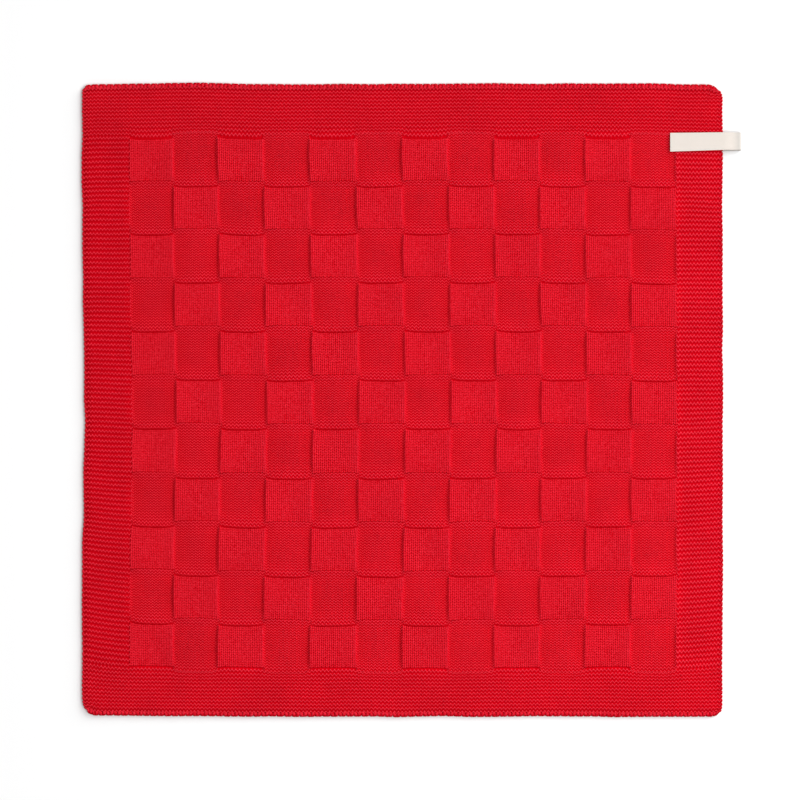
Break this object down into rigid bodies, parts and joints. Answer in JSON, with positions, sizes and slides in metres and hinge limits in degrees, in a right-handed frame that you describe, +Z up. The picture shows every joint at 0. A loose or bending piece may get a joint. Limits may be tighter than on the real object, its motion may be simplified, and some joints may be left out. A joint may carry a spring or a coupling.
{
  "type": "kitchen towel",
  "caption": "Square knitted cotton kitchen towel lying flat, with a basket-weave field of knit and purl blocks, garter borders and a bare tape label folded round one side.",
  "frame": {"origin": "middle of the cloth, on the plane that it lies on", "axes": "+Z up, off the surface that the towel lies on; +Y towards the cast-off edge; +X towards the side that carries the label"},
  "size_m": [0.5158, 0.496, 0.0044],
  "materials": {
    "knitted_cotton": "matt red cotton yarn, machine knitted",
    "woven_tape": "matt off-white woven cotton tape, bare"
  },
  "bodies": {
    "root": {"towel": "knitted_cotton", "label": "woven_tape"}
  },
  "joints": []
}
